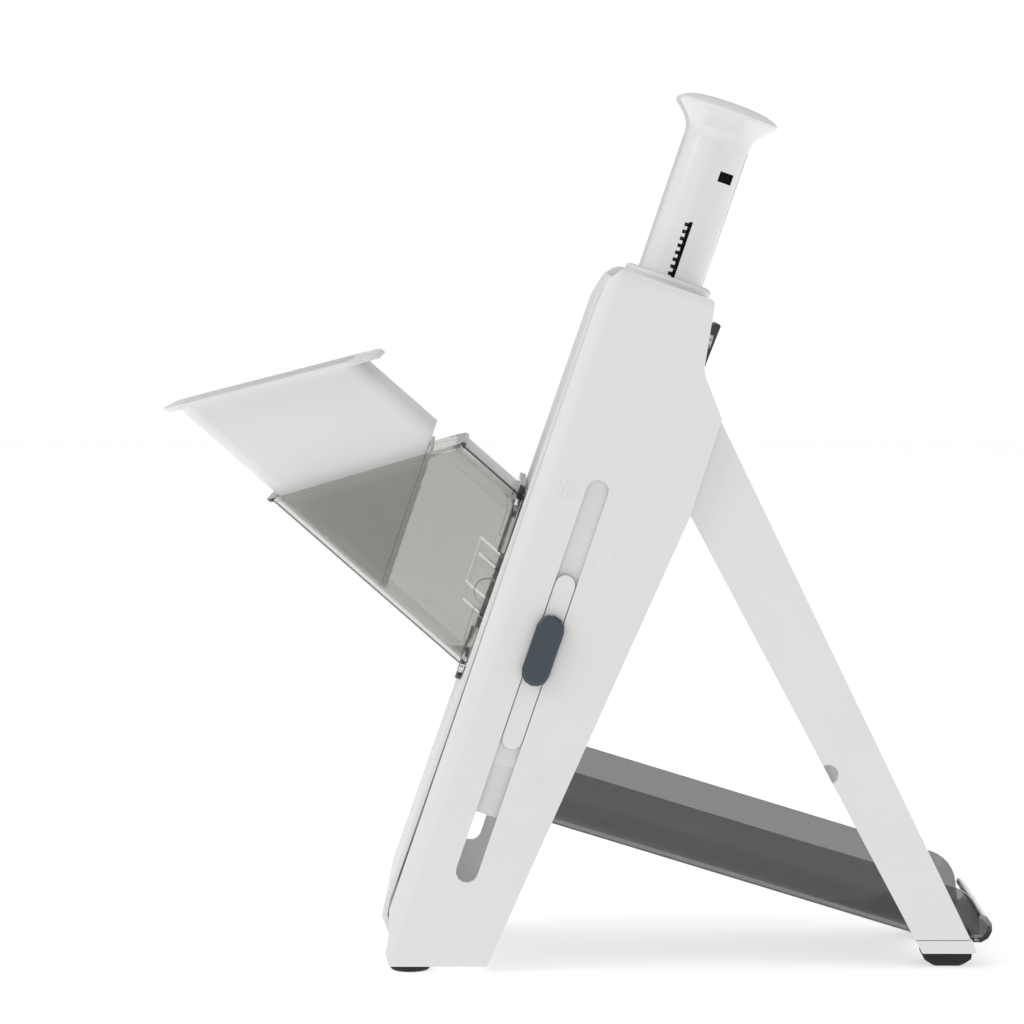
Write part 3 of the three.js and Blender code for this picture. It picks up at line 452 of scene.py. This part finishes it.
@dataclass(frozen=True)
class Finish:
    """A surface: its record slot, colours, gloss and texture.

    Attributes:
        name: The material's name.
        slot: The record's material slot; not used.
        light: Colour of the lighter patches.
        dark: Colour of the darker patches.
        rough: Lowest and highest roughness.
        grain: Texture scale, in waves per metre.
        depth: Depth of the texture in millimetres.
        metallic: 1 for bare metal.
        clear: Transmission, 1 for a clear plastic.
        ior: Index of refraction.
        coat: Weight of a polished coat.
        scuffs: How much the handling marks show.
        relief: Strength of the bump, far lower on clear plastics.
        effect: The texture's pattern.
    """

    name: str
    slot: str
    light: Colour
    dark: Colour
    rough: tuple[float, float] = (0.38, 0.48)
    grain: float = 2600.0
    depth: float = 0.02
    metallic: float = 0.0
    clear: float = 0.0
    ior: float = 1.46
    coat: float = 0.0
    scuffs: float = 0.0
    relief: float = 0.35
    effect: Effect = Effect.GRAIN

    made: ClassVar[dict[str, bpy.types.Material]] = {}

    def material(self) -> bpy.types.Material:
        """The finish as a material, built once.

        Returns:
            The material.
        """
        if self.name not in Finish.made:
            Finish.made[self.name] = self.build()
        return Finish.made[self.name]

    def build(self) -> bpy.types.Material:
        """Make the material's nodes.

        Returns:
            The new material.
        """
        material = bpy.data.materials.new(self.name)
        material.use_nodes = True
        tree = Tree(material.node_tree)
        shader = tree.add("BsdfPrincipled", Metallic=self.metallic, IOR=self.ior, Coat_Weight=self.coat,
                          Coat_Roughness=0.08, Transmission_Weight=self.clear)
        output = tree.add("OutputMaterial")
        place = tree.add("TexCoord")
        effect = tree.add("Group", node_tree=self.effect.tree())
        scale = "Grain" if self.effect is Effect.GRAIN else "Fineness"
        effect.inputs[scale].default_value = self.grain
        tree.link(place.outputs["Object"], effect.inputs["Vector"])
        tone = tree.add("Mix", data_type="RGBA")
        colours = [socket for socket in tone.inputs if socket.type == "RGBA"]
        colours[0].default_value = (*self.dark, 1)
        colours[1].default_value = (*self.light, 1)
        tree.link(effect.outputs["Tone"], tone.inputs["Factor"])
        tree.link([socket for socket in tone.outputs if socket.type == "RGBA"][0], shader.inputs["Base Color"])
        gloss = tree.add("MapRange")
        gloss.inputs["To Min"].default_value = self.rough[0]
        gloss.inputs["To Max"].default_value = self.rough[1]
        patches = "Gloss" if self.effect is Effect.GRAIN else "Tone"
        tree.link(effect.outputs[patches], gloss.inputs["Value"])
        roughness = gloss.outputs["Result"]
        height = effect.outputs["Height"]
        if self.scuffs:
            roughness, height = self.add_scuffs(tree, place, roughness, height)
        tree.link(roughness, shader.inputs["Roughness"])
        bump = tree.add("Bump", Strength=self.relief, Distance=self.depth * MM)
        tree.link(height, bump.inputs["Height"])
        tree.link(bump.outputs["Normal"], shader.inputs["Normal"])
        tree.link(shader.outputs["BSDF"], output.inputs["Surface"])
        return material

    def add_scuffs(self, tree: Tree, place: bpy.types.Node, roughness: bpy.types.NodeSocket,
                   height: bpy.types.NodeSocket) -> tuple[bpy.types.NodeSocket, bpy.types.NodeSocket]:
        """Lay hairline scuffs over the texture.

        Args:
            tree: The material's tree.
            place: Its coordinates node.
            roughness: The roughness so far.
            height: The texture's height so far.

        Returns:
            Roughness and height with the scuffs in them.
        """
        scuffs = tree.add("Group", node_tree=Effect.SCUFFS.tree())
        scuffs.inputs["Amount"].default_value = self.scuffs
        tree.link(place.outputs["Object"], scuffs.inputs["Vector"])
        rougher = tree.add("Math", operation="ADD", use_clamp=True)
        tree.link(roughness, rougher.inputs[0])
        tree.link(scuffs.outputs["Mask"], rougher.inputs[1])
        lower = tree.add("Math", operation="SUBTRACT")
        tree.link(height, lower.inputs[0])
        tree.link(scuffs.outputs["Mask"], lower.inputs[1])
        return rougher.outputs[0], lower.outputs[0]


BODY_WHITE = Finish("satin_white_shell", "body_white", srgb(233, 233, 232), srgb(227, 227, 226),
                    rough=(0.34, 0.46), grain=2400, depth=0.03, scuffs=0.06)
LEG_WHITE = Finish("satin_white_leg", "leg_white", srgb(234, 234, 232), srgb(228, 228, 226),
                   rough=(0.34, 0.46), grain=2400, depth=0.03, scuffs=0.06)
PLUNGER_WHITE = Finish("polished_white", "plunger_white", srgb(236, 236, 235), srgb(230, 230, 229),
                       rough=(0.12, 0.2), grain=900, depth=0.01, coat=0.35, scuffs=0.08)
INNER_WHITE = Finish("plain_white_moulding", "inner_white", srgb(234, 234, 233), srgb(227, 227, 226),
                     rough=(0.42, 0.55), grain=1800, depth=0.03)
PLATE_GREY = Finish("pale_grey_plate", "plate_grey", srgb(214, 216, 216), srgb(206, 208, 208),
                    rough=(0.3, 0.42), grain=1800, depth=0.03)
CHUTE_SMOKE = Finish("light_smoke_clear", "chute_smoke", (0.635, 0.64, 0.62), (0.605, 0.61, 0.59),
                     rough=(0.02, 0.06), grain=420, depth=0.01, clear=1.0, ior=1.49, scuffs=0.1, relief=0.05)
PUSHER_CLEAR = Finish("frosted_clear_white", "pusher_clear", (0.98, 0.98, 0.97), (0.95, 0.95, 0.94),
                      rough=(0.32, 0.42), grain=1500, depth=0.02, clear=0.3, ior=1.46, scuffs=0.08, relief=0.15)
TRAY_SMOKE = Finish("dark_smoke_clear", "tray_smoke", (0.23, 0.24, 0.235), (0.21, 0.22, 0.215),
                    rough=(0.03, 0.08), grain=420, depth=0.01, clear=1.0, ior=1.49, scuffs=0.1, relief=0.02)
KNOB_SLATE = Finish("slate_knob", "knob_slate", srgb(62, 73, 81), srgb(55, 66, 74),
                    rough=(0.3, 0.4), grain=2400, depth=0.02, scuffs=0.08)
LEVER_DARK = Finish("dark_grey_moulding", "lever_dark", srgb(66, 68, 72), srgb(56, 58, 62),
                    rough=(0.36, 0.48), grain=2400, depth=0.03, scuffs=0.08)
FOOT_RUBBER = Finish("black_rubber", "foot_rubber", srgb(42, 42, 44), srgb(32, 32, 34),
                     rough=(0.7, 0.9), grain=3200, depth=0.06)
CLAMP_STEEL = Finish("brushed_strip", "clamp_steel", (0.58, 0.59, 0.6), (0.48, 0.49, 0.5),
                     rough=(0.22, 0.36), grain=6000, depth=0.02, metallic=1.0, effect=Effect.BRUSHING)
BLADE_STEEL = Finish("ground_blade", "blade_steel", (0.66, 0.67, 0.69), (0.55, 0.56, 0.58),
                     rough=(0.12, 0.26), grain=9000, depth=0.01, metallic=1.0, effect=Effect.BRUSHING)
FASTENER_STEEL = Finish("turned_steel", "fastener_steel", (0.56, 0.56, 0.57), (0.47, 0.47, 0.48),
                        rough=(0.2, 0.32), grain=4000, depth=0.01, metallic=1.0, effect=Effect.BRUSHING)
SPRING_STEEL = Finish("drawn_wire", "spring_steel", (0.6, 0.6, 0.61), (0.5, 0.5, 0.51),
                      rough=(0.18, 0.3), grain=3000, depth=0.01, metallic=1.0, effect=Effect.BRUSHING)


# ---------- pieces ----------
@dataclass(frozen=True)
class Part:
    """A CAD solid and how it is finished.

    Attributes:
        node: The CAD node.
        finish: Its surface.
        bevel: Width of the rounded edges in millimetres.
        segments: Steps across each rounded edge.
        crease: Angle in degrees over which an edge is rounded.
    """

    node: str
    finish: Finish
    bevel: float = 0.4
    segments: int = 2
    crease: float = 32.0


@dataclass
class SubAssembly:
    """Pieces that ride on one body.

    Attributes:
        body: The CAD body that carries them.
    """

    body: str

    def parts(self) -> list[Part]:
        """The CAD solids that are shown with rounded edges."""
        return []

    def details(self) -> None:
        """Make the pieces that have shapes of their own."""

    def build(self) -> None:
        """Make every piece of the sub-assembly."""
        for part in self.parts():
            self.mould(part)
        self.details()

    def mould(self, part: Part, body: Optional[str] = None, ending: str = "moulding") -> None:
        """Make one solid with rounded edges.

        Args:
            part: The solid and its finish.
            body: Another body to ride on.
            ending: Last word of the piece's name.
        """
        piece = take_shape(part.node, f"{part.node}_{ending}")
        round_edges(piece, part.bevel, part.segments, part.crease)
        self.dress(piece, part.finish, part.node, body=body)

    def dress(self, piece: bpy.types.Object, finish: Finish, *nodes: str, body: Optional[str] = None) -> None:
        """Give a piece its finish and its body, and hide what it stands for.

        Args:
            piece: The finished mesh.
            finish: Its surface.
            nodes: CAD nodes that it replaces.
            body: Another body to ride on.
        """
        piece.data.materials.clear()
        piece.data.materials.append(finish.material())
        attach(piece, body or self.body)
        if nodes:
            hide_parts(*nodes)
        LOG.info("%s: %d faces, on %s", piece.name, len(piece.data.polygons), body or self.body)


@dataclass
class Housing(SubAssembly):
    """The leaning body: covers, frame, cap and the fixed works inside."""

    body: str = "housing"
    seat: float = 0.4 * MM  # closes the gap between the collar and the cap
    collar_round: float = 1.2
    mark_proud: float = 0.25 * MM
    mark_line: float = 0.55 * MM
    stripes: tuple[float, float, float] = (5.4, 2.1, 1.05)  # the disc's radius, and the stripes' pitch and width
    stripes_at: tuple[float, float] = (14.8, 224.3)  # depth and height of each mark
    ring_at: tuple[float, float] = (42, 197.8)
    hook_at: tuple[float, float] = (47, 94)
    eye_at: tuple[float, float] = (45.8, 91.4)
    ticks: int = 5
    ticks_at: tuple[float, float] = (15, 140)
    tick_pitch: float = 5.0

    def parts(self) -> list[Part]:
        """The covers, frames, rails, feet and fasteners."""
        return [
            *(Part(f"side_cover_{side}", BODY_WHITE, 0.8, 3) for side in BOTH),
            Part("front_frame", BODY_WHITE, 0.6, 3),
            Part("top_cap", BODY_WHITE, 0.5, 3),
            Part("rear_cover", BODY_WHITE, 0.5),
            Part("base_block", BODY_WHITE, 0.5),
            Part("tray_ledge", BODY_WHITE, 0.5),
            *(Part(f"guide_rail_{side}", INNER_WHITE, 0.3) for side in BOTH),
            *(Part(f"spring_hanger_{side}", INNER_WHITE, 0.4) for side in BOTH),
            *(Part(f"front_foot_{side}", FOOT_RUBBER, 0.5, 3) for side in BOTH),
            *(Part(f"axle_clip_{side}", FASTENER_STEEL, 0.15) for side in BOTH),
            *(Part(f"rear_screw_{side}", FASTENER_STEEL, 0.35, 3) for side in BOTH),
            Part("leg_axle", FASTENER_STEEL, 0.5),
            Part("lever_pin", FASTENER_STEEL, 0.2),
        ]

    def details(self) -> None:
        """The collar, settled on the cap, and the raised marks on the covers."""
        collar = take_shape("plunger_collar", "plunger_collar_moulding")
        round_edges(collar, self.collar_round, 4, 32)
        band = (self.collar_round + 0.05) * MM
        sink_foot(collar, band, self.seat + self.collar_round * MM)
        self.dress(collar, BODY_WHITE, "plunger_collar")
        self.dress(self.pattern_marks(), BODY_WHITE)
        self.dress(self.thickness_marks(), BODY_WHITE)

    def on_cover(self, depth: float, height: float, side: int = 1) -> Matrix:
        """The frame of a mark on a cover's outer face.

        Args:
            depth: Depth behind the body's front plane, in millimetres.
            height: Height along the body, in millimetres.
            side: 1 for the right cover, -1 for the left.

        Returns:
            A matrix whose x axis points out of the cover.
        """
        place = Matrix.Translation((side * COVER_FACE, depth * MM, height * MM))
        return BODY_FRAME @ place @ Matrix.Rotation(0 if side > 0 else math.pi, 4, "Z")

    def pattern_marks(self) -> bpy.types.Object:
        """Marks beside the selector: a striped disc for strips, an open ring for slices, a small hook."""
        shapes = []
        radius, pitch, width = self.stripes
        depth, height = self.stripes_at
        for row in range(-2, 3):
            offset = row * pitch
            length = 2 * math.sqrt(radius ** 2 - offset ** 2)
            bar = raised_bar(length * MM, width * MM, self.mark_proud)
            shapes.append(settle(bar, self.on_cover(depth + offset, height)))
        shapes.append(settle(raised_ring(5.5 * MM, self.mark_line / 2), self.on_cover(*self.ring_at)))
        hook = raised_bar(4.2 * MM, self.mark_line, self.mark_proud)
        shapes.append(settle(hook, self.on_cover(*self.hook_at)))
        shapes.append(settle(raised_ring(1.1 * MM, self.mark_line / 2), self.on_cover(*self.eye_at)))
        return joined("pattern_marks", shapes)

    def thickness_marks(self) -> bpy.types.Object:
        """Ticks that grow beside the thickness selector on the left cover."""
        shapes = []
        depth, height = self.ticks_at
        for step in range(self.ticks):
            tick = raised_bar((3 + step) * MM, (0.5 + 0.22 * step) * MM, self.mark_proud)
            place = self.on_cover(depth, height + self.tick_pitch * step, -1)
            shapes.append(settle(tick, place @ Matrix.Rotation(math.pi / 2, 4, "X")))
        return joined("thickness_marks", shapes)


@dataclass
class ReturnSprings(SubAssembly):
    """The two coil springs that lift the plunger."""

    body: str = "housing"
    radius: float = 4.2 * MM
    wire: float = 0.6 * MM
    turns: int = 15
    steps: int = 20
    across: float = 41 * MM
    low: float = 198.3 * MM
    high: float = 305.0 * MM

    def details(self) -> None:
        """A coil on each side, stretched between the housing and the plunger."""
        for side, name in ((1, "right"), (-1, "left")):
            coil = self.coil(f"return_spring_{name}_coil")
            place = Matrix.Translation((side * self.across, SLOT_DEPTH, self.low))
            settle(coil, BODY_FRAME @ place)
            coil.data.materials.append(SPRING_STEEL.material())
            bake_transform(coil)
            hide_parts(f"return_spring_{name}")
            LOG.info("%s: %d faces", coil.name, len(coil.data.polygons))

    def coil(self, name: str) -> bpy.types.Object:
        """A coil from z = 0 upwards, spun from the wire's section.

        Args:
            name: The piece's name.

        Returns:
            The coil.
        """
        place = (self.radius, 0, self.wire)
        bpy.ops.mesh.primitive_circle_add(vertices=10, radius=self.wire, location=place,
                                          rotation=(math.pi / 2, 0, 0))
        coil = bpy.context.object
        coil.name = name
        bpy.ops.object.transform_apply(location=True, rotation=True, scale=True)
        screw = coil.modifiers.new("winding", "SCREW")
        screw.angle = 2 * math.pi
        screw.screw_offset = (self.high - self.low - 2 * self.wire) / self.turns
        screw.iterations = self.turns
        screw.steps = self.steps
        screw.render_steps = self.steps
        apply_modifiers(coil)
        open_mesh(coil)
        bpy.ops.mesh.remove_doubles(threshold=0.001 * MM)
        bpy.ops.mesh.fill_holes(sides=0)
        bpy.ops.mesh.select_all(action="SELECT")
        bpy.ops.mesh.normals_make_consistent(inside=False)
        deselect()
        activate(coil)
        bpy.ops.object.shade_smooth_by_angle(angle=math.radians(60))
        return coil


@dataclass
class Plunger(SubAssembly):
    """The pressed tube with its palm head, and the carriage that holds the blade."""

    body: str = "plunger"
    seam: float = 0.6 * MM  # the head's foot laps over the tube's end
    lap: float = 0.05 * MM

    def parts(self) -> list[Part]:
        """The tube, the carriage, the plates and the blade."""
        return [
            Part("plunger_tube", PLUNGER_WHITE, 0.12),
            Part("carriage_frame", INNER_WHITE, 0.4),
            Part("upper_plate", PLATE_GREY, 0.3),
            Part("main_blade", BLADE_STEEL, 0.05, 1),
            Part("blade_clamp", CLAMP_STEEL, 0.3),
            *(Part(f"blade_screw_{side}", FASTENER_STEEL, 0.3, 3) for side in BOTH),
            *(Part(f"slide_shoe_{side}", BODY_WHITE, 0.25) for side in BOTH),
        ]

    def details(self) -> None:
        """The palm head, a smooth flared dome."""
        head = take_shape("plunger_head", "palm_head")
        sink_foot(head, 0.1 * MM, self.seam, self.lap)
        smooth_surface(head, 2, 40)
        self.dress(head, PLUNGER_WHITE, "plunger_head")


@dataclass
class Selectors(SubAssembly):
    """The knobs on the sides and what they move."""

    body: str = "cut_selector"

    def details(self) -> None:
        """Rounded knobs, the comb and the feed plate, each on its own body."""
        rows = (
            (Part("cut_selector_knob", KNOB_SLATE, 1.1, 4, 40), "cut_selector"),
            (Part("thickness_knob", KNOB_SLATE, 1.1, 4, 40), "thickness_selector"),
            (Part("julienne_comb", BLADE_STEEL, 0.08, 1), "comb"),
            (Part("feed_plate", PLATE_GREY, 0.3), "feed_table"),
        )
        for part, body in rows:
            self.mould(part, body)


@dataclass
class Leg(SubAssembly):
    """The folding rear leg with its crossbar and pads."""

    body: str = "leg"

    def parts(self) -> list[Part]:
        """Arms, crossbar, end caps and rubber pads."""
        return [
            *(Part(f"leg_arm_{side}", LEG_WHITE, 0.8, 3) for side in BOTH),
            Part("leg_crossbar", LEG_WHITE, 0.4),
            *(Part(f"rear_foot_cap_{side}", LEG_WHITE, 0.5) for side in BOTH),
            *(Part(f"rear_foot_pad_{side}", FOOT_RUBBER, 0.6, 3) for side in BOTH),
        ]


@dataclass
class Tray(SubAssembly):
    """The smoked catch tray."""

    body: str = "tray"

    def parts(self) -> list[Part]:
        """The tray itself."""
        return [Part("catch_tray", TRAY_SMOKE, 0.6, 3)]


@dataclass
class Chute(SubAssembly):
    """The smoked feed chute and its side latches."""

    body: str = "chute"

    def parts(self) -> list[Part]:
        """The chute."""
        return [Part("feed_chute", CHUTE_SMOKE, 0.35)]

    def details(self) -> None:
        """The latch tongues, each on its own hinge."""
        for side in BOTH:
            self.mould(Part(f"chute_latch_{side}", CHUTE_SMOKE, 0.35), f"latch_{side}", "tongue")


@dataclass
class Pusher(SubAssembly):
    """The clear food pusher and its toothed plate."""

    body: str = "pusher"

    def parts(self) -> list[Part]:
        """The cup and the plate."""
        return [Part("food_pusher", PUSHER_CLEAR, 0.4, 2), Part("pusher_grip_plate", PUSHER_CLEAR, 0.2)]


@dataclass
class Lever(SubAssembly):
    """The lever that locks the plunger down."""

    body: str = "lever"

    def parts(self) -> list[Part]:
        """The lever."""
        return [Part("lock_lever", LEVER_DARK, 0.6, 3)]


# ---------- studio ----------
@dataclass(frozen=True)
class Panel:
    """A square lamp that faces the object.

    Attributes:
        name: The lamp's name.
        place: Where it hangs.
        size: Side of the panel.
        power: Its power in watts.
    """

    name: str
    place: tuple[float, float, float]
    size: float
    power: float


@dataclass
class Studio:
    """White floor, soft lights and the camera.

    Attributes:
        panels: The lamps.
        floor: Half the floor's side.
        paper_glow: How much of the floor's white is its own light, which keeps the shadows faint.
        surround: Brightness of the white surround where it is seen.
        ambient: Brightness of the surround as it lights the object.
        target: Point that the camera looks at.
        distance: From that point to the camera.
        azimuth: Turn of the camera round the object, in degrees.
        elevation: Rise of the camera, in degrees.
        lens: Focal length in millimetres.
    """

    panels: tuple[Panel, ...] = (
        Panel("key_panel", (0.7, -1.7, 1.7), 1.2, 15),
        Panel("top_panel", (0.1, 0.1, 2.2), 1.8, 6),
        Panel("back_panel", (0.4, 1.9, 1.1), 1.4, 2.5),
    )
    floor: float = 4.0
    paper_glow: float = 0.62
    surround: float = 1.02
    ambient: float = 0.54
    target: Vector = Vector((0, -0.0313, 0.212))
    distance: float = 1.842
    azimuth: float = 90.2
    elevation: float = 4.6
    lens: float = 134.9

    def build(self) -> None:
        """Make the floor, the lights, the sky and the camera."""
        self.backdrop()
        self.sky()
        for panel in self.panels:
            self.light(panel)
        self.camera()

    def backdrop(self) -> None:
        """A flat white sheet under the object."""
        bpy.ops.mesh.primitive_plane_add(size=2 * self.floor)
        sheet = bpy.context.object
        sheet.name = "studio_floor"
        material = bpy.data.materials.new("white_paper")
        material.use_nodes = True
        tree = Tree(material.node_tree)
        shader = tree.add("BsdfPrincipled", Roughness=0.9, Emission_Strength=self.paper_glow)
        shader.inputs["Specular IOR Level"].default_value = 0.1
        shader.inputs["Emission Color"].default_value = (1, 1, 1, 1)
        output = tree.add("OutputMaterial")
        place = tree.add("TexCoord")
        grain = tree.add("Group", node_tree=Effect.GRAIN.tree())
        mix = tree.add("Mix", data_type="RGBA")
        colours = [socket for socket in mix.inputs if socket.type == "RGBA"]
        colours[0].default_value = (0.64, 0.64, 0.64, 1)
        colours[1].default_value = (0.67, 0.67, 0.67, 1)
        tree.link(place.outputs["Object"], grain.inputs["Vector"])
        tree.link(grain.outputs["Tone"], mix.inputs["Factor"])
        tree.link([socket for socket in mix.outputs if socket.type == "RGBA"][0], shader.inputs["Base Color"])
        tree.link(shader.outputs["BSDF"], output.inputs["Surface"])
        sheet.data.materials.append(material)

    def sky(self) -> None:
        """An even white surround."""
        world = bpy.data.worlds.new("white_surround")
        bpy.context.scene.world = world
        world.use_nodes = True
        tree = Tree(world.node_tree)
        background = tree.add("Background", Color=(1, 1, 1, 1))
        output = tree.add("OutputWorld")
        ray = tree.add("LightPath")
        seen = tree.add("Math", operation="MAXIMUM")
        strength = tree.add("MapRange")
        strength.inputs["To Min"].default_value = self.ambient
        strength.inputs["To Max"].default_value = self.surround
        tree.link(ray.outputs["Is Camera Ray"], seen.inputs[0])
        tree.link(ray.outputs["Is Transmission Ray"], seen.inputs[1])
        tree.link(seen.outputs[0], strength.inputs["Value"])
        tree.link(strength.outputs["Result"], background.inputs["Strength"])
        tree.link(background.outputs["Background"], output.inputs["Surface"])
        bpy.context.scene.view_settings.view_transform = "Standard"

    def light(self, panel: Panel) -> None:
        """Hang a lamp and turn it to the object."""
        lamp = bpy.data.lights.new(panel.name, "AREA")
        lamp.size = panel.size
        lamp.energy = panel.power
        holder = bpy.data.objects.new(panel.name, lamp)
        bpy.context.scene.collection.objects.link(holder)
        holder.location = panel.place
        holder.rotation_euler = (self.target - Vector(panel.place)).to_track_quat("-Z", "Y").to_euler()

    def camera(self) -> None:
        """A long lens at the side of the object, a little above it."""
        around = math.radians(self.azimuth)
        above = math.radians(self.elevation)
        level = math.cos(above)
        away = Vector((level * math.sin(around), -level * math.cos(around), math.sin(above)))
        data = bpy.data.cameras.new("side_camera")
        data.lens = self.lens
        data.sensor_width = 36
        data.clip_end = 20
        camera = bpy.data.objects.new("side_camera", data)
        bpy.context.scene.collection.objects.link(camera)
        camera.location = self.target + away * self.distance
        camera.rotation_euler = (-away).to_track_quat("-Z", "Y").to_euler()
        bpy.context.scene.camera = camera


def main() -> None:
    """Build every sub-assembly and the studio."""
    logging.basicConfig(level=logging.INFO, format="%(message)s")
    Studio().build()
    assemblies = (Housing, ReturnSprings, Plunger, Selectors, Leg, Tray, Chute, Pusher, Lever)
    for assembly in assemblies:
        assembly().build()


if __name__ == "__main__":
    main()
